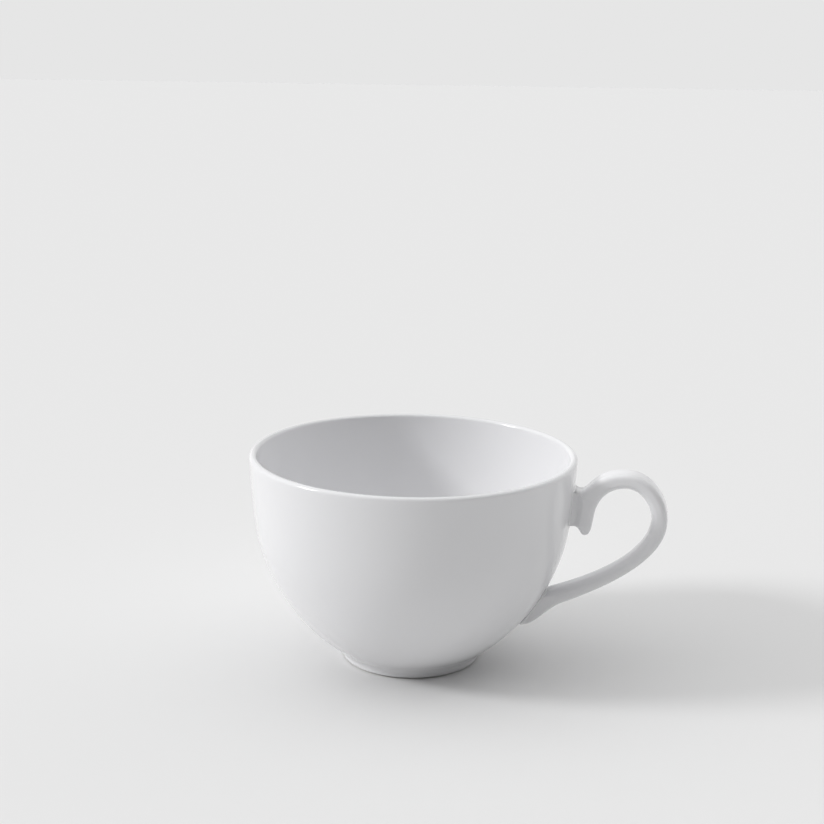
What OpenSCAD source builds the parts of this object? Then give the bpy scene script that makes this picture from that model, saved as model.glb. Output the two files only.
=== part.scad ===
// Porcelain teacup: a round bowl on a low foot ring, with an ear handle that ends in a hanging spur.
// Millimetres, +Z up. The origin is on the cup's axis, in the plane that the foot stands on.
// +X points from the axis to the handle.

/* [Bowl] */
// Outer diameter of the rim
rim_d = 96; // [88:1:104]
// Height from the table to the top of the rim
cup_h = 63; // [60:1:68]
// Thickness of the rounded lip
lip_t = 2.1; // [1.6:0.1:2.6]
// Thickness of the glazed wall at the shoulder
wall_t = 2.5; // [2:0.1:3]
// Thickness of the glazed floor at the axis
floor_t = 3.2; // [2.6:0.1:4]

/* [Foot] */
// Outer diameter of the foot ring where it leaves the bowl
foot_d = 42.2; // [40:0.2:46]
// Height of the foot ring
foot_h = 2.9; // [2.6:0.1:3.6]
// Width of the foot ring where it meets the bowl
foot_w = 4; // [3:0.1:5]

/* [Handle] */
// Reach of the handle from the cup's axis to its outermost point
reach = 74.4; // [72:0.2:78]
// Width of the handle strap across the loop
strap_w = 8; // [7:0.1:9.5]
// Rounding of the strap's two outer edges
strap_edge = 1.8; // [1:0.1:2]
// Rounding of the strap's two inner edges, through its thickness
inner_edge = 2; // [1:0.1:2.2]

/* [Glaze] */
// Thickness of the fired glaze coat
glaze_t = 0.25; // [0.2:0.05:0.35]

/* [Hidden] */
$fn = 96;

rim_r = rim_d / 2;
lip_r = lip_t / 2;
foot_r = foot_d / 2;

// Facets round the bowl where the thin slip joints are cut to it
FINE_ROUND = 400;
// Steps along one stretch of the bowl's section, and round half of the lip
CURVE_STEPS = 14;
LIP_STEPS = 5;
// Steps round one long edge of the handle strap, and round an edge of the foot
CORNER_STEPS = 6;
FOOT_STEPS = 4;

function bezier(p, t) =
    pow(1 - t, 3) * p[0] + 3 * pow(1 - t, 2) * t * p[1] + 3 * (1 - t) * t * t * p[2] + pow(t, 3) * p[3];

function curve(p, steps) = [for (i = [0:steps]) bezier(p, i / steps)];

function reversed(points) = [for (i = [len(points) - 1:-1:0]) points[i]];

function but_last(points) = [for (i = [0:len(points) - 2]) points[i]];

function polar(r, a) = [r * cos(a), r * sin(a)];

// Shapes are drawn for a cup 96 across and 63 high, and follow the rim and the height from there.
DRAWN_R = 48;
DRAWN_H = 63;
DRAWN_REACH = 74.4;

function at(x, z) = [x * rim_r / DRAWN_R, z * cup_h / DRAWN_H];

// A point of the handle: beyond the rim it also stretches with the reach.
function ear(x, z) =
    at(min(x, DRAWN_R) + max(x - DRAWN_R, 0) * (reach - DRAWN_R) / (DRAWN_REACH - DRAWN_R), z);

// Half of the bowl's section. The wall runs from the lip down to the shoulder, where the belly
// starts, and the belly runs in to the foot, or inside the cup to the middle of the floor. The two
// stretches share their slope at the shoulder.
shoulder = at(44.6, 34);
wall_from_lip = at(1, 18.9);
wall_to_shoulder = at(1.2, 3.9);
belly_from_shoulder = at(2.3, 7.7);
belly_to_foot = at(14.4, 9.1);
belly_to_floor = at(25, 0);
well_z = foot_h + 0.6;
floor_z = well_z + floor_t;

function section(lip, bend, base, to_base) =
    concat(
        but_last(curve([lip, lip - wall_from_lip, bend + wall_to_shoulder, bend], CURVE_STEPS)),
        curve([bend, bend - belly_from_shoulder, base + to_base, base], CURVE_STEPS)
    );

// The outer and inner faces, each moved into the wall by skin.
function outer_face(skin) =
    section([rim_r - skin, cup_h - lip_r], shoulder - [skin, 0], [foot_r, foot_h + skin], belly_to_foot);

function inner_face(skin) =
    section(
        [rim_r - lip_t + skin, cup_h - lip_r],
        shoulder - [wall_t - skin, 0],
        [0, floor_z - skin],
        belly_to_floor
    );

// Part of the lip's rounding, from one angle to another, without its first point.
function lip_arc(r, from, to) =
    [for (i = [1:LIP_STEPS]) [rim_r - lip_r, cup_h - lip_r] + polar(r, from + (to - from) * i / LIP_STEPS)];

// The fired clay body: wall, belly and floor, with a shallow well inside the foot ring.
module bowl() {
    clay_lip_r = lip_r - glaze_t;
    color("ghostwhite")
        rotate_extrude()
            polygon(concat(
                reversed(inner_face(glaze_t)),
                lip_arc(clay_lip_r, 180, 90),
                but_last(lip_arc(clay_lip_r, 90, 0)),
                outer_face(glaze_t),
                [
                    [foot_r, foot_h],
                    [foot_r - foot_w, foot_h],
                    [foot_r - foot_w - 1, well_z],
                    [0, well_z]
                ]
            ));
}

// A quarter turn round one edge of the foot, about a centre at radius x, from an angle downwards.
function foot_edge(x, r, from) = [for (i = [0:FOOT_STEPS]) [x, r] + polar(r, from - 90 * i / FOOT_STEPS)];

// The ring that the cup stands on. It narrows downwards to an unglazed standing edge.
module foot_ring() {
    edge_r = 0.6;
    out_r = foot_r - 0.6;
    in_r = foot_r - foot_w + 0.6;
    color("linen")
        rotate_extrude()
            polygon(concat(
                [[foot_r, foot_h]],
                foot_edge(out_r - edge_r, edge_r, 0),
                foot_edge(in_r + edge_r, edge_r, -90),
                [[foot_r - foot_w, foot_h]]
            ));
}

// Glaze on the outside, from the crest of the lip down to the foot.
module outer_glaze() {
    color("white")
        rotate_extrude()
            polygon(concat(
                reversed(lip_arc(lip_r, 0, 90)),
                outer_face(0),
                reversed(outer_face(glaze_t)),
                lip_arc(lip_r - glaze_t, 0, 90)
            ));
}

// Glaze on the inside, from the crest of the lip down to the middle of the floor.
module inner_glaze() {
    color("white")
        rotate_extrude()
            polygon(concat(
                reversed(inner_face(0)),
                lip_arc(lip_r, 180, 90),
                reversed(lip_arc(lip_r - glaze_t, 180, 90)),
                inner_face(glaze_t)
            ));
}

// The two flat ends of the handle, as lines in the plane of the loop: each lies just off the wall.
lower_end = [ear(33.1, 12.1), ear(40.8, 23.6)];
upper_end = [ear(47.2, 44.4), ear(48.2, 55.8)];

// The handle lies between two rails in the plane of the loop. Each rail is a chain of the same
// stretches: root, lower arm, outside of the loop, crown, saddle, down the wall, and spur.
STRETCH_STEPS = [7, 22, 11, 14, 4, 6, 10];

inner_rail = [
    [lower_end[1], ear(41.7, 24), ear(42.5, 24.35), ear(43.4, 24.7)],
    [ear(43.4, 24.7), ear(66.1, 33.3), ear(69.8, 42.5), ear(69.8, 47.3)],
    [ear(69.8, 47.3), ear(69.8, 51.4), ear(66.7, 56.2), ear(62.5, 56.2)],
    [ear(62.5, 56.2), ear(59, 56.2), ear(56.4, 54.3), ear(55, 51.9)],
    [ear(55, 51.9), ear(54.9, 51.7), ear(54.8, 51.6), ear(54.7, 51.4)],
    [ear(54.7, 51.4), ear(53.8, 49.8), ear(53.5, 47.8), ear(53.2, 45.6)],
    [ear(53.2, 45.6), ear(52.9, 43.7), ear(52.7, 41.7), ear(51.4, 41.7)]
];

outer_rail = [
    [lower_end[0], ear(37.8, 12.8), ear(41, 18.2), ear(45.1, 20.4)],
    [ear(45.1, 20.4), ear(70.5, 32), ear(74.4, 41.3), ear(74.4, 47.3)],
    [ear(74.4, 47.3), ear(74.4, 53.9), ear(69.2, 60.8), ear(62.5, 60.8)],
    [ear(62.5, 60.8), ear(56, 60.8), ear(53, 55.6), ear(49.7, 55)],
    [ear(49.7, 55), ear(48.7, 54.9), ear(48.1, 55.1), upper_end[1]],
    [upper_end[1], ear(47.5, 52), ear(47.2, 48.2), upper_end[0]],
    [upper_end[0], ear(49.8, 44.9), ear(49.4, 41.7), ear(50.9, 41.7)]
];

CROWN_STRETCH = 3;
SADDLE_STRETCH = 4;
SPUR_STRETCH = 6;

function chain(rail) = concat(
    [rail[0][0]],
    [for (k = [0:len(rail) - 1], i = [1:STRETCH_STEPS[k]]) bezier(rail[k], i / STRETCH_STEPS[k])]
);

// The strap's width at each ring: the spur thins to its tip.
spur_tip_w = 0.6;

function spur_taper(k, t) = k < SPUR_STRETCH ? 1 : 1 - (1 - spur_tip_w) * t * t;

// How far the strap's outer edges have turned from plain roundings into coves. The coves grow in at
// the end of the crown, are full against the wall, and fade out along the first half of the spur.
cove_start = 0.8;
cove_at_saddle = 0.25;
cove_stop = 0.5;

function cove_share(k, t) =
    k < CROWN_STRETCH ? 0
    : k == CROWN_STRETCH ? cove_at_saddle * pow(max(0, t - cove_start) / (1 - cove_start), 2)
    : k == SADDLE_STRETCH ? cove_at_saddle + (1 - cove_at_saddle) * t
    : k == SPUR_STRETCH ? pow(max(0, cove_stop - t) / cove_stop, 2)
    : 1;

ring_shape = concat(
    [[1, 0]],
    [for (k = [0:len(STRETCH_STEPS) - 1], i = [1:STRETCH_STEPS[k]]) let(t = i / STRETCH_STEPS[k])
        [spur_taper(k, t), cove_share(k, t)]]
);

// One corner of a ring: an arc about a centre, in the ring's own thickness and width axes. It can be
// stretched across the width.
function corner(t_sign, w_sign, half_t, half_w, r, from, stretch = 1) =
    [for (i = [0:CORNER_STEPS]) let(a = from + 90 * i / CORNER_STEPS)
        [t_sign * (half_t - r) + r * cos(a), w_sign * (half_w - r * stretch) + r * stretch * sin(a)]];

// A cove in place of a corner: from the wall in to a waist, and out again to the strap's side.
cove_run = 3.6;
cove_depth = 0.8;
waist_at = 0.45;

function cove_dip(u) = cove_depth * (
    u < waist_at
        ? sin(90 * u / waist_at)
        : (1 + cos(180 * (u - waist_at) / (1 - waist_at))) / 2
);

function cove(w_sign, half_t, half_w) = let(run = min(cove_run, half_t))
    [for (i = [0:CORNER_STEPS]) let(u = i / CORNER_STEPS)
        [half_t - run * u, w_sign * (half_w - cove_dip(u))]];

function blend(first, second, share) =
    [for (i = [0:len(first) - 1]) first[i] * (1 - share) + second[i] * share];

// One ring of the strap: a rectangle with rounded corners that spans from one rail to the other. Its
// inner corners together round most of the inner side.
inner_share = 0.75;

function ring(inner, outer, taper, share) = let(
        mid = (inner + outer) / 2,
        half_t = norm(outer - inner) / 2,
        half_w = strap_w * taper / 2,
        out = (outer - inner) / norm(outer - inner),
        round_limit = 0.9 * half_t,
        r_out = min(strap_edge, round_limit),
        r_in = min(inner_edge, round_limit),
        stretch_in = inner_share * half_w / r_in
    )
    [for (q = concat(
            blend(corner(1, 1, half_t, half_w, r_out, 0), cove(1, half_t, half_w), share),
            corner(-1, 1, half_t, half_w, r_in, 90, stretch_in),
            corner(-1, -1, half_t, half_w, r_in, 180, stretch_in),
            blend(corner(1, -1, half_t, half_w, r_out, 270), reversed(cove(-1, half_t, half_w)), share)
        ))
        [mid[0] + out[0] * q[0], q[1], mid[1] + out[1] * q[0]]];

// A closed solid through a list of rings that all have the same number of points.
module skin_over(rings) {
    n = len(rings[0]);
    last = len(rings) - 1;
    polyhedron(
        points = [for (r = rings, p = r) p],
        faces = concat(
            [[for (i = [n - 1:-1:0]) i]],
            [for (k = [0:last - 1], i = [0:n - 1]) let(j = (i + 1) % n)
                [k * n + i, k * n + j, (k + 1) * n + j]],
            [for (k = [0:last - 1], i = [0:n - 1]) let(j = (i + 1) % n)
                [k * n + i, (k + 1) * n + j, (k + 1) * n + i]],
            [[for (i = [0:n - 1]) last * n + i]]
        )
    );
}

module handle() {
    inner = chain(inner_rail);
    outer = chain(outer_rail);
    color("white")
        skin_over([for (i = [0:len(inner) - 1])
            ring(inner[i], outer[i], ring_shape[i][0], ring_shape[i][1])]);
}

function rounded_rectangle(length, width, r) =
    concat(
        corner(1, 1, length / 2, width / 2, r, 0),
        corner(-1, 1, length / 2, width / 2, r, 90),
        corner(-1, -1, length / 2, width / 2, r, 180),
        corner(1, -1, length / 2, width / 2, r, 270)
    );

joint_inset = 0.2;

// Fired slip that fills the gap between a flat end of the handle and the round wall of the bowl.
module slip_joint(end, edge) {
    depth = 5;
    span = end[1] - end[0];
    mid = (end[0] + end[1]) / 2;
    color("whitesmoke")
        difference() {
            translate([mid[0], 0, mid[1]])
                rotate([0, -atan2(span[1], span[0]), 0])
                    linear_extrude(height = depth)
                        polygon(rounded_rectangle(norm(span) - 2 * joint_inset, strap_w - 2 * edge, 1));
            rotate_extrude($fn = FINE_ROUND)
                polygon(concat([[0, cup_h - lip_r]], outer_face(0), [[0, foot_h]]));
        }
}

module upper_slip_joint() { slip_joint(upper_end, joint_inset); }

module lower_slip_joint() { slip_joint(lower_end, strap_edge); }

bowl();
foot_ring();
handle();
upper_slip_joint();
lower_slip_joint();
outer_glaze();
inner_glaze();
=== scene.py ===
"""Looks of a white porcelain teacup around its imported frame: glazed bowl, foot ring, ear handle.

Shapes are written in millimetres and scaled by MM to metres. +X points to the handle, +Z is up.
"""
import math

import bpy
import numpy as np
from mathutils import Matrix, Vector


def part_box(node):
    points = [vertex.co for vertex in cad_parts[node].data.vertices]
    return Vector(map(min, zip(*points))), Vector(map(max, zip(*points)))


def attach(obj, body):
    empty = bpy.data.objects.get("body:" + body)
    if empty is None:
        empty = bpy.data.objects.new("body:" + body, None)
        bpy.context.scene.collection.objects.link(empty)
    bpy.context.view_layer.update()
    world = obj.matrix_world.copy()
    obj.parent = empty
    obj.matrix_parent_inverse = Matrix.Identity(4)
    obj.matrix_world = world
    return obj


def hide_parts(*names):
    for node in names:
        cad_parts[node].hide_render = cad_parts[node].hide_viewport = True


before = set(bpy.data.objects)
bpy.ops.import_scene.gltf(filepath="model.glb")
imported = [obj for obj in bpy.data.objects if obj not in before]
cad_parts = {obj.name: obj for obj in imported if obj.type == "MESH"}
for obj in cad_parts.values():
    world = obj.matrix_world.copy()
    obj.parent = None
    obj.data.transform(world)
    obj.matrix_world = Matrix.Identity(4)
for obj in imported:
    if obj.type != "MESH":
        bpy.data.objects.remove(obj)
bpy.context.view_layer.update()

MM = 0.001


def highest(node):
    """Far corner of a CAD node's box, in millimetres."""
    return np.array(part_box(node)[1]) / MM


# Sizes that the frame gives. The handle is symmetric, so its width is twice its highest y.
RIM_R, _, CUP_H = highest("outer_glaze")
FOOT_R, _, FOOT_H = highest("foot_ring")
REACH, HALF_STRAP_W, _ = highest("handle")

# The cup whose section and handle are drawn below
DRAWN_R = 48
DRAWN_H = 63
DRAWN_REACH = 74.4

# Sizes of the glazed wall
LIP_T = 2.1
LIP_R = LIP_T / 2
WALL_T = 2.5
FLOOR_T = 3.2
GLAZE_T = 0.25

# The foot: its width, how far its inner side slopes, its rounded edge, the well that it surrounds,
# and how much its outer side narrows to the table
FOOT_W = 4.0
FOOT_SLOPE = 0.6
FOOT_EDGE_R = 0.6
WELL_Z = FOOT_H + 0.6
FOOT_TAPER = 0.55

# The soft hollow between belly and foot: how far out on the belly it starts, and where it ends
BLEND_RUN = 1.5
BLEND_Z = 1.45

# The glaze ends on the foot's side in a rounded edge, and the bare clay is ground back under it
GLAZE_LINE_Z = 0.45
GLAZE_EDGE = 0.12
GROUND_BACK = 1.1

# Depth by which hidden faces reach into the piece behind them
OVERLAP = 0.1

# Detail of the meshes
ROUND_STEPS = 256
CURVE_STEPS = 40
LIP_STEPS = 12
RING_CORNER_STEPS = 10
BEAD_STEPS = 8
FILLET_STEPS = 12


# ---------------------------------------------------------------- shapes

def bezier(p, t):
    p = [np.array(q, float) for q in p]
    s = 1 - t
    return s ** 3 * p[0] + 3 * s ** 2 * t * p[1] + 3 * s * t * t * p[2] + t ** 3 * p[3]


def curve(p, steps):
    return [bezier(p, i / steps) for i in range(steps + 1)]


def polar(r, degrees):
    a = math.radians(degrees)
    return np.array([r * math.cos(a), r * math.sin(a)])


def arc(centre, r, start, stop, steps):
    turn = (stop - start) / steps
    return [np.array(centre) + polar(r, start + turn * i) for i in range(steps + 1)]


def without_repeats(points):
    kept = [points[0]]
    for p in points[1:]:
        if np.linalg.norm(p - kept[-1]) > 1e-4:
            kept.append(p)
    return kept


def at(x, z):
    """A point of the cup's section, stretched from the drawn cup to this one."""
    return np.array([x * RIM_R / DRAWN_R, z * CUP_H / DRAWN_H])


SHOULDER = at(44.6, 34)


def section(lip, bend, base, to_base):
    """Half of the bowl's section, from the lip to the shoulder and on to the foot or the floor."""
    upper = curve([lip, lip - at(1, 18.9), bend + at(1.2, 3.9), bend], CURVE_STEPS)
    lower = curve([bend, bend - at(2.3, 7.7), base + to_base, base], CURVE_STEPS)
    return upper + lower[1:]


def outer_face(skin):
    """The outer face, moved into the wall by skin."""
    lip = np.array([RIM_R - skin, CUP_H - LIP_R])
    return section(lip, SHOULDER - [skin, 0], np.array([FOOT_R, FOOT_H + skin]), at(14.4, 9.1))


def inner_face(skin):
    """The inner face, moved into the wall by skin."""
    lip = np.array([RIM_R - LIP_T + skin, CUP_H - LIP_R])
    floor = np.array([0, WELL_Z + FLOOR_T - skin])
    return section(lip, SHOULDER - [WALL_T - skin, 0], floor, at(25, 0))


def lip_arc(skin, start, stop):
    return arc([RIM_R - LIP_R, CUP_H - LIP_R], LIP_R - skin, start, stop, LIP_STEPS)


OUTER = np.array(outer_face(0))


def wall_radius(z):
    """Outer radius of the bowl at a height."""
    return float(np.interp(z, OUTER[::-1, 1], OUTER[::-1, 0]))


# ---------------------------------------------------------------- meshes

def new_mesh(name, vertices, faces, material):
    mesh = bpy.data.meshes.new(name)
    mesh.from_pydata([tuple(float(c) * MM for c in v) for v in vertices], [], faces)
    mesh.validate()
    mesh.polygons.foreach_set("use_smooth", [True] * len(mesh.polygons))
    mesh.materials.append(material)
    mesh.update()
    piece = bpy.data.objects.new(name, mesh)
    bpy.context.scene.collection.objects.link(piece)
    return piece


def revolve(name, points, material):
    """A closed solid of revolution from a closed outline. Points on the axis become one vertex."""
    points = without_repeats([np.array(p, float) for p in points])
    vertices, rings = [], []
    for r, z in points:
        if r < 1e-6:
            rings.append([len(vertices)] * ROUND_STEPS)
            vertices.append((0, 0, z))
        else:
            rings.append([len(vertices) + k for k in range(ROUND_STEPS)])
            for k in range(ROUND_STEPS):
                a = 2 * math.pi * k / ROUND_STEPS
                vertices.append((r * math.cos(a), r * math.sin(a), z))
    faces = []
    for i, low in enumerate(rings):
        high = rings[(i + 1) % len(rings)]
        for k in range(ROUND_STEPS):
            j = (k + 1) % ROUND_STEPS
            face = []
            for v in (low[k], low[j], high[j], high[k]):
                if v not in face:
                    face.append(v)
            if len(face) >= 3:
                faces.append(face)
    return new_mesh(name, vertices, faces, material)


def loft(name, rings, material):
    """A closed solid through rings that all have the same number of points, closed at both ends."""
    n = len(rings[0])
    vertices = [p for ring in rings for p in ring]
    faces = []
    for k in range(len(rings) - 1):
        for i in range(n):
            j = (i + 1) % n
            faces.append([k * n + i, k * n + j, (k + 1) * n + j, (k + 1) * n + i])
    for k, flip in ((0, True), (len(rings) - 1, False)):
        middle = len(vertices)
        vertices.append(np.mean(rings[k], axis=0))
        for i in range(n):
            j = (i + 1) % n
            a, b = k * n + i, k * n + j
            faces.append([b, a, middle] if flip else [a, b, middle])
    return new_mesh(name, vertices, faces, material)


# ---------------------------------------------------------------- materials

def shader(name, colour, roughness):
    material = bpy.data.materials.new(name)
    material.use_nodes = True
    tree = material.node_tree
    principled = tree.nodes["Principled BSDF"]
    principled.inputs["Base Color"].default_value = (*colour, 1)
    principled.inputs["Roughness"].default_value = roughness
    return material, tree, principled


def noise(tree, scale, detail):
    place = tree.nodes.new("ShaderNodeTexCoord")
    node = tree.nodes.new("ShaderNodeTexNoise")
    node.inputs["Scale"].default_value = scale
    node.inputs["Detail"].default_value = detail
    tree.links.new(place.outputs["Object"], node.inputs["Vector"])
    return node.outputs["Fac"]


def remap(tree, value, low, high, from_low=0.3, from_high=0.7):
    """Spread a value, by default the middle of a noise, over a new range."""
    node = tree.nodes.new("ShaderNodeMapRange")
    node.inputs["From Min"].default_value = from_low
    node.inputs["From Max"].default_value = from_high
    node.inputs["To Min"].default_value = low
    node.inputs["To Max"].default_value = high
    tree.links.new(value, node.inputs["Value"])
    return node.outputs["Result"]


def blend_colours(tree, factor, first, second):
    node = tree.nodes.new("ShaderNodeMix")
    node.data_type = "RGBA"
    node.inputs["A"].default_value = (*first, 1)
    node.inputs["B"].default_value = (*second, 1)
    tree.links.new(factor, node.inputs["Factor"])
    return node.outputs["Result"]


def bump(tree, principled, height, distance, strength):
    node = tree.nodes.new("ShaderNodeBump")
    node.inputs["Strength"].default_value = strength
    node.inputs["Distance"].default_value = distance
    tree.links.new(height, node.inputs["Height"])
    tree.links.new(node.outputs["Normal"], principled.inputs["Normal"])


def glazed_porcelain():
    """White body under a clear gloss glaze, with faint waves and slow drifts of tone and gloss."""
    material, tree, principled = shader("glazed_porcelain", (0.84, 0.84, 0.853), 0.1)
    drift = remap(tree, noise(tree, scale=18, detail=2), 0, 1)
    tint = blend_colours(tree, drift, (0.832, 0.832, 0.846), (0.848, 0.848, 0.86))
    tree.links.new(tint, principled.inputs["Base Color"])
    gloss = remap(tree, noise(tree, scale=60, detail=3), 0.08, 0.14)
    tree.links.new(gloss, principled.inputs["Roughness"])
    bump(tree, principled, noise(tree, scale=45, detail=1.5), distance=0.0001, strength=0.3)
    return material


def bare_porcelain():
    """Unglazed, ground clay: matt, slightly warm, with fine grain and rubbed patches."""
    material, tree, principled = shader("bare_porcelain", (0.8, 0.78, 0.74), 0.75)
    drift = remap(tree, noise(tree, scale=220, detail=4), 0, 1)
    tint = blend_colours(tree, drift, (0.78, 0.755, 0.715), (0.83, 0.815, 0.785))
    tree.links.new(tint, principled.inputs["Base Color"])
    rubbed = remap(tree, noise(tree, scale=900, detail=3), 0.62, 0.85)
    tree.links.new(rubbed, principled.inputs["Roughness"])
    bump(tree, principled, noise(tree, scale=3500, detail=3), distance=0.00004, strength=0.6)
    return material


# ---------------------------------------------------------------- pieces

def foot_side(z):
    """Outer radius of the foot ring under its glaze: it narrows a little towards the table."""
    return FOOT_R - GLAZE_EDGE - FOOT_TAPER * (FOOT_H - z) / FOOT_H


def coat_outline():
    """Outer face of the outer coat: wall and belly, a soft hollow, and the foot's side."""
    belly = [q for q in outer_face(0) if q[0] > FOOT_R + BLEND_RUN]
    start, before = belly[-1], belly[-2]
    along = (start - before) / np.linalg.norm(start - before)
    end = np.array([foot_side(BLEND_Z) + GLAZE_EDGE, BLEND_Z])
    blend = curve([start, start + along, end + [0.12, 0.75], end], CURVE_STEPS)
    edge_centre = (foot_side(GLAZE_LINE_Z), GLAZE_LINE_Z + GLAZE_EDGE)
    edge = arc(edge_centre, GLAZE_EDGE, 0, -90, BEAD_STEPS)
    return lip_arc(0, 90, 0) + belly + blend[1:] + edge


def build_outer_glaze(glaze):
    """The coat outside. Its back lies inside the bowl's clay and the foot ring."""
    back_r = FOOT_R - FOOT_SLOPE
    back = [(back_r, GLAZE_LINE_Z + OVERLAP), (back_r, FOOT_H + OVERLAP)]
    outline = coat_outline() + back + outer_face(GLAZE_T)[::-1] + lip_arc(GLAZE_T, 0, 90)
    piece = revolve("outer_glaze_coat", outline, glaze)
    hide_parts("outer_glaze")
    return piece


def build_inner_glaze(glaze):
    front = inner_face(0)[::-1] + lip_arc(0, 180, 90)
    outline = front + lip_arc(GLAZE_T, 90, 180) + inner_face(GLAZE_T)
    piece = revolve("inner_glaze_coat", outline, glaze)
    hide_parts("inner_glaze")
    return piece


def build_bowl(glaze):
    """The clay wall and floor. Under the foot is the glazed well, slightly domed."""
    well_r = FOOT_R - FOOT_W
    dome = 0.25
    outline = (
        inner_face(GLAZE_T)[::-1]
        + lip_arc(GLAZE_T, 180, 0)
        + outer_face(GLAZE_T)
        + [(FOOT_R, FOOT_H), (well_r, FOOT_H)]
        + curve([
            (well_r, FOOT_H),
            (well_r - 0.1, WELL_Z - 0.1),
            (well_r - 0.6, WELL_Z),
            (well_r - 2.2, WELL_Z + 0.02),
        ], BEAD_STEPS)
        + [(0, WELL_Z + dome)]
    )
    piece = revolve("clay_bowl", outline, glaze)
    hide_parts("bowl")
    return piece


def build_foot(bare):
    """The foot ring's clay. Its outer edge curves in under the glaze line to the standing face."""
    line_r = foot_side(GLAZE_LINE_Z)
    stand_r = foot_side(0)
    in_r = FOOT_R - FOOT_W + FOOT_SLOPE
    outline = (
        [(foot_side(FOOT_H), FOOT_H)]
        + curve([
            (line_r, GLAZE_LINE_Z + 0.08),
            (line_r - 0.15, GLAZE_LINE_Z - 0.12),
            (stand_r - 0.6 * GROUND_BACK, 0.02),
            (stand_r - GROUND_BACK, 0),
        ], LIP_STEPS)
        + arc((in_r + FOOT_EDGE_R, FOOT_EDGE_R), FOOT_EDGE_R, -90, -180, LIP_STEPS)
        + [(FOOT_R - FOOT_W, FOOT_H)]
    )
    piece = revolve("turned_foot_ring", outline, bare)
    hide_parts("foot_ring")
    return piece


def ear(x, z):
    """A point of the handle: beyond the rim it also stretches with the reach."""
    beyond = max(x - DRAWN_R, 0)
    return at(min(x, DRAWN_R) + beyond * (REACH - DRAWN_R) / (DRAWN_REACH - DRAWN_R), z)


# The handle lies between two rails in the plane of the loop. Each rail is a chain of the same
# stretches: root, lower arm, outside of the loop, crown, saddle, down inside the wall, and spur.
LOWER_END = [ear(33.5, 12.8), ear(40.8, 23.6)]
UPPER_END = [ear(46.4, 44.4), ear(46.9, 55)]
STRETCH_STEPS = [14, 44, 24, 28, 10, 14, 20]
INNER_RAIL = [
    [LOWER_END[1], ear(41.7, 24), ear(42.5, 24.35), ear(43.4, 24.7)],
    [ear(43.4, 24.7), ear(66.1, 33.3), ear(69.8, 42.5), ear(69.8, 47.3)],
    [ear(69.8, 47.3), ear(69.8, 51.4), ear(66.7, 56.2), ear(62.5, 56.2)],
    [ear(62.5, 56.2), ear(59, 56.2), ear(56.4, 54.3), ear(55, 51.9)],
    [ear(55, 51.9), ear(54.9, 51.7), ear(54.8, 51.6), ear(54.7, 51.4)],
    [ear(54.7, 51.4), ear(53.8, 49.8), ear(53.5, 47.8), ear(53.2, 45.6)],
    [ear(53.2, 45.6), ear(52.9, 43.7), ear(52.7, 41.7), ear(51.4, 41.7)],
]
OUTER_RAIL = [
    [LOWER_END[0], ear(36.9, 12.3), ear(41.1, 18.55), ear(45.1, 20.4)],
    [ear(45.1, 20.4), ear(70.5, 32), ear(74.4, 41.3), ear(74.4, 47.3)],
    [ear(74.4, 47.3), ear(74.4, 53.9), ear(69.2, 60.8), ear(62.5, 60.8)],
    [ear(62.5, 60.8), ear(53.4, 60.8), ear(51.9, 55.2), ear(49.6, 54.5)],
    [ear(49.6, 54.5), ear(48.9, 54.3), ear(48.1, 54.4), UPPER_END[1]],
    [UPPER_END[1], ear(47.4, 51.6), ear(47.2, 48.2), UPPER_END[0]],
    [UPPER_END[0], ear(49.8, 44.9), ear(49.4, 41.7), ear(50.9, 41.7)],
]
CROWN_STRETCH = 3
SADDLE_STRETCH = 4
SPUR_STRETCH = 6

# Rounding of the strap's outer edges, of its inner ones through the thickness and across the
# width, the part of the thickness that a rounding may take, and the spur's width at its tip
STRAP_EDGE = 1.8
INNER_EDGE_T = 2.0
INNER_EDGE_W = 3.0
ROUND_LIMIT = 0.9
SPUR_TIP_W = 0.6

# The cove where the strap's sides meet the wall: its run, its depth, and where its waist lies
COVE_RUN = 3.6
COVE_DEPTH = 0.8
WAIST_AT = 0.45

# Where the cove starts on the crown, how full it is at the saddle, and where it stops on the spur
COVE_START = 0.8
COVE_AT_SADDLE = 0.25
COVE_STOP = 0.5

# The small fillets of slip and glaze that run out onto the wall
UPPER_BEAD_R = 0.45
LOWER_BEAD_R = 0.2


def corner(t_sign, w_sign, half_t, half_w, r, start, stretch=1.0):
    """A rounded corner, in a ring's thickness and width axes. It can be stretched in width."""
    centre = np.array([t_sign * (half_t - r), w_sign * (half_w - r * stretch)])
    quarter = arc((0, 0), r, start, start + 90, RING_CORNER_STEPS)
    return [centre + q * (1, stretch) for q in quarter]


def rounded_rectangle(half_t, half_w, r):
    return (
        corner(1, 1, half_t, half_w, r, 0)
        + corner(-1, 1, half_t, half_w, r, 90)
        + corner(-1, -1, half_t, half_w, r, 180)
        + corner(1, -1, half_t, half_w, r, 270)
    )


def cove_dip(u):
    if u < WAIST_AT:
        return COVE_DEPTH * math.sin(math.pi / 2 * u / WAIST_AT)
    return COVE_DEPTH * (1 + math.cos(math.pi * (u - WAIST_AT) / (1 - WAIST_AT))) / 2


def cove(w_sign, half_t, half_w, grow):
    """In place of a corner: from the wall in to a waist, and out again to the strap's side."""
    run = min(COVE_RUN, half_t)
    points = []
    for u in np.linspace(0, 1, RING_CORNER_STEPS + 1):
        points.append(np.array([half_t - run * u, w_sign * (half_w + grow - cove_dip(u))]))
    return points if w_sign > 0 else points[::-1]


def mix(first, second, share):
    return [p * (1 - share) + q * share for p, q in zip(first, second)]


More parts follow.
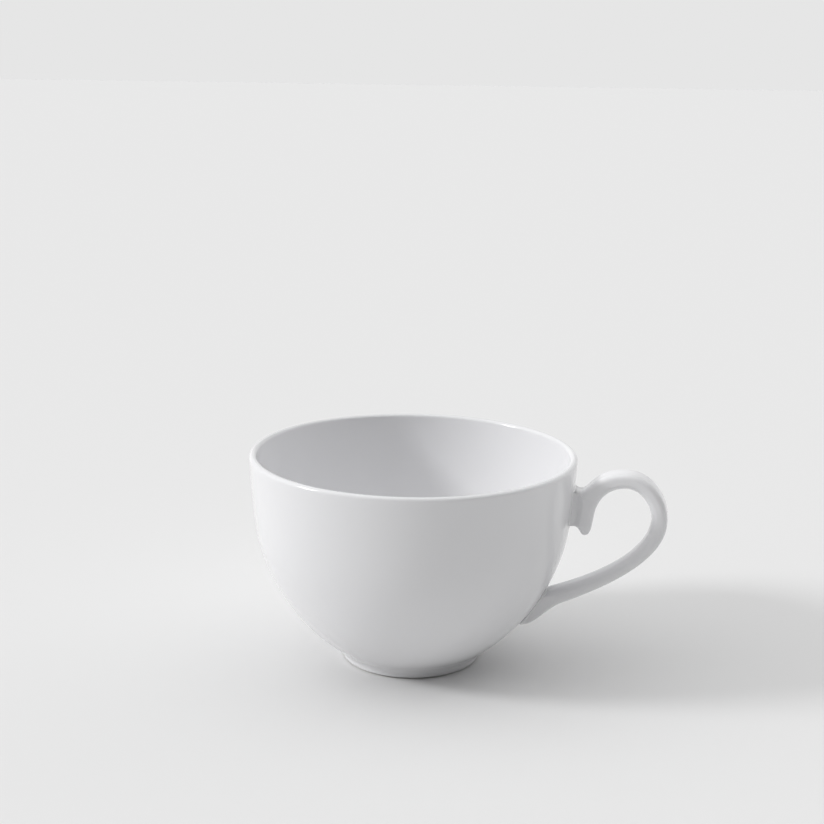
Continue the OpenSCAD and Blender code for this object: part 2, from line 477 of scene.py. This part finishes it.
def cove_share(k, t):
    """How far the outer edges have turned from plain roundings into coves."""
    if k < CROWN_STRETCH:
        return 0.0
    if k == CROWN_STRETCH:
        return COVE_AT_SADDLE * (max(0.0, t - COVE_START) / (1 - COVE_START)) ** 2
    if k == SADDLE_STRETCH:
        return COVE_AT_SADDLE + (1 - COVE_AT_SADDLE) * t
    if k == SPUR_STRETCH:
        return (max(0.0, COVE_STOP - t) / COVE_STOP) ** 2
    return 1.0


def ring(inner, outer, half_w, share=0.0, grow=0.0):
    """One ring of the strap: a rectangle with rounded corners from one rail to the other."""
    mid = (inner + outer) / 2
    half_t = np.linalg.norm(outer - inner) / 2
    out = (outer - inner) / (2 * half_t)
    limit = ROUND_LIMIT * half_t
    r_out = min(STRAP_EDGE, limit) + grow
    r_in = min(INNER_EDGE_T, limit) + grow
    stretch_in = (INNER_EDGE_W * half_w / HALF_STRAP_W + grow) / r_in
    full_t, full_w = half_t + grow, half_w + grow
    outline = (
        mix(corner(1, 1, full_t, full_w, r_out, 0), cove(1, half_t, half_w, grow), share)
        + corner(-1, 1, full_t, full_w, r_in, 90, stretch_in)
        + corner(-1, -1, full_t, full_w, r_in, 180, stretch_in)
        + mix(corner(1, -1, full_t, full_w, r_out, 270), cove(-1, half_t, half_w, grow), share)
    )
    return [(mid[0] + out[0] * t, w, mid[1] + out[1] * t) for t, w in outline]


def fillet(d, r):
    """How far a cove of radius r has spread sideways at a distance d from the wall."""
    d = min(max(d, 0.0), r)
    return r - math.sqrt(r * r - (r - d) ** 2)


def build_handle(glaze):
    rings = []
    for k, steps in enumerate(STRETCH_STEPS):
        for i in range(0 if k == 0 else 1, steps + 1):
            t = i / steps
            taper = 1 - (1 - SPUR_TIP_W) * t * t if k == SPUR_STRETCH else 1
            inner, outer = bezier(INNER_RAIL[k], t), bezier(OUTER_RAIL[k], t)
            rings.append(ring(inner, outer, HALF_STRAP_W * taper, cove_share(k, t)))
    piece = loft("strap_handle", rings, glaze)
    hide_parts("handle")
    return piece


def build_upper_joint(glaze):
    """The slip between the strap and the wall, with a small fillet that runs out onto the wall."""
    low, high = UPPER_END[0][1] + OVERLAP, UPPER_END[1][1] - 2 * OVERLAP
    mid_z, half_z = (high + low) / 2, (high - low) / 2
    half_w = HALF_STRAP_W - OVERLAP
    corner_r = 0.5
    sunk = -0.3
    rings = []
    for d in [sunk, *(UPPER_BEAD_R * np.linspace(0, 1, FILLET_STEPS + 1) ** 2)]:
        spread = fillet(d, UPPER_BEAD_R)
        points = []
        for t, w in rounded_rectangle(half_z + spread, half_w + spread, corner_r + spread):
            wall = wall_radius(mid_z + t) + d
            points.append((wall * math.cos(w / wall), wall * math.sin(w / wall), mid_z + t))
        rings.append(points)
    piece = loft("upper_joint_fillet", rings, glaze)
    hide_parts("upper_slip_joint")
    return piece


def build_lower_joint(glaze):
    """A small fillet round the handle's lower root. It ends just under the strap's face."""
    sunk = np.array([-0.5, 0.3])
    part_of_root = 0.1
    end_depth = 0.02
    inner, outer = INNER_RAIL[0][0], OUTER_RAIL[0][0]
    rings = [ring(inner + sunk, outer + sunk, HALF_STRAP_W, grow=LOWER_BEAD_R)]
    for u in np.linspace(0, 1, FILLET_STEPS + 1):
        inner, outer = (bezier(rail[0], part_of_root * u) for rail in (INNER_RAIL, OUTER_RAIL))
        spread = fillet(LOWER_BEAD_R * u, LOWER_BEAD_R) - end_depth
        rings.append(ring(inner, outer, HALF_STRAP_W, grow=spread))
    piece = loft("lower_joint_fillet", rings, glaze)
    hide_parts("lower_slip_joint")
    return piece


# ---------------------------------------------------------------- stage

def build_floor():
    material, _, principled = shader("studio_floor", (0.8, 0.8, 0.8), 0.9)
    principled.inputs["Specular IOR Level"].default_value = 0.0
    half = 40.0
    corners = [(-half, -half, 0), (half, -half, 0), (half, half, 0), (-half, half, 0)]
    mesh = bpy.data.meshes.new("studio_floor")
    mesh.from_pydata(corners, [], [[0, 1, 2, 3]])
    mesh.materials.append(material)
    floor = bpy.data.objects.new("studio_floor", mesh)
    bpy.context.scene.collection.objects.link(floor)


# The camera and the lights are placed round a cup whose handle points straight to the right, and
# turned together by this, so that the handle swings a little towards the camera.
VIEW_TURN = math.radians(10.5)


def turned(x, y, z):
    c, s = math.cos(VIEW_TURN), math.sin(VIEW_TURN)
    return Vector((c * x - s * y, s * x + c * y, z))


def direction(azimuth, elevation):
    """Towards an azimuth and an elevation in degrees. 0 is to the right, 90 is behind the cup."""
    a, e = math.radians(azimuth), math.radians(elevation)
    return turned(math.cos(a) * math.cos(e), math.sin(a) * math.cos(e), math.sin(e))


def build_camera():
    distance, height = 0.3978, 0.1694
    yaw, pitch, roll = math.radians(-0.09), math.radians(13.38), math.radians(0.79)
    forward = turned(
        math.sin(yaw) * math.cos(pitch), math.cos(yaw) * math.cos(pitch), -math.sin(pitch))
    level = turned(math.cos(yaw), -math.sin(yaw), 0)
    above = level.cross(forward)
    right = math.cos(roll) * level + math.sin(roll) * above
    up = math.cos(roll) * above - math.sin(roll) * level
    camera_data = bpy.data.cameras.new("camera")
    camera_data.sensor_width = 36
    camera_data.lens = 61.2
    camera_data.clip_start = 0.01
    camera_data.clip_end = 200
    camera = bpy.data.objects.new("camera", camera_data)
    rotation = Matrix((right, up, -forward)).transposed().to_4x4()
    camera.matrix_world = Matrix.Translation(turned(0, -distance, height)) @ rotation
    bpy.context.scene.collection.objects.link(camera)
    bpy.context.scene.camera = camera


def lobe(tree, place, azimuth, elevation, power, strength):
    """A soft light from one direction, as a value over the whole sky."""
    dot = tree.nodes.new("ShaderNodeVectorMath")
    dot.operation = "DOT_PRODUCT"
    dot.inputs[1].default_value = direction(azimuth, elevation)
    tree.links.new(place.outputs["Generated"], dot.inputs[0])
    value = dot.outputs["Value"]
    for operation, number in (("MAXIMUM", 0.0), ("POWER", power), ("MULTIPLY", strength)):
        node = tree.nodes.new("ShaderNodeMath")
        node.operation = operation
        node.inputs[1].default_value = number
        tree.links.new(value, node.inputs[0])
        value = node.outputs["Value"]
    return value


# Soft lights of the studio: azimuth and elevation in degrees, power of the fall-off, strength
SKY_LIGHTS = [
    (90, 0, 2, 0.76),
    (0, 90, 6, 0.7),
    (0, 55, 6, 0.76),
    (180, 60, 6, 0.96),
    (180, 35, 6, 0.28),
    (180, 10, 6, 0.9),
    (210, 20, 6, 0.2),
    (30, 20, 6, 0.74),
]

# Brightness of the pale backdrop. It fills the sky for the camera, and lights the cup from straight
# behind, where the cosine to that direction rises through this range.
BACKDROP = 0.791
BACKDROP_EDGE = (0.82, 0.92)


def build_world():
    """A studio that is bright behind the cup, above it and to its left, and dark in front of it."""
    world = bpy.data.worlds.new("studio")
    bpy.context.scene.world = world
    world.use_nodes = True
    tree = world.node_tree
    background = tree.nodes["Background"]
    place = tree.nodes.new("ShaderNodeTexCoord")
    total = None
    for light in SKY_LIGHTS:
        value = lobe(tree, place, *light)
        if total is not None:
            add = tree.nodes.new("ShaderNodeMath")
            add.operation = "ADD"
            tree.links.new(total, add.inputs[0])
            tree.links.new(value, add.inputs[1])
            value = add.outputs["Value"]
        total = value
    share = remap(tree, lobe(tree, place, 90, 0, 1, 1.0), 0, 1, *BACKDROP_EDGE)
    pale = tree.nodes.new("ShaderNodeMath")
    pale.operation = "MAXIMUM"
    tree.links.new(share, pale.inputs[0])
    tree.links.new(tree.nodes.new("ShaderNodeLightPath").outputs["Is Camera Ray"], pale.inputs[1])
    mixed = tree.nodes.new("ShaderNodeMix")
    mixed.inputs["B"].default_value = BACKDROP
    tree.links.new(pale.outputs["Value"], mixed.inputs["Factor"])
    tree.links.new(total, mixed.inputs["A"])
    tree.links.new(mixed.outputs["Result"], background.inputs["Color"])


def build_key():
    """The key light: a soft sun from the left, a little in front of the cup."""
    sun = bpy.data.lights.new("key", "SUN")
    sun.energy = 1.22
    sun.angle = math.radians(12)
    key = bpy.data.objects.new("key", sun)
    key.rotation_euler = direction(188, 29).to_track_quat("Z", "Y").to_euler()
    bpy.context.scene.collection.objects.link(key)


build_camera()
build_world()
build_key()
build_floor()
bpy.context.scene.view_settings.view_transform = "Standard"

glazed = glazed_porcelain()
bare = bare_porcelain()
pieces = [
    build_bowl(glazed),
    build_outer_glaze(glazed),
    build_inner_glaze(glazed),
    build_foot(bare),
    build_handle(glazed),
    build_upper_joint(glazed),
    build_lower_joint(glazed),
]
for piece in pieces:
    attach(piece, "root")
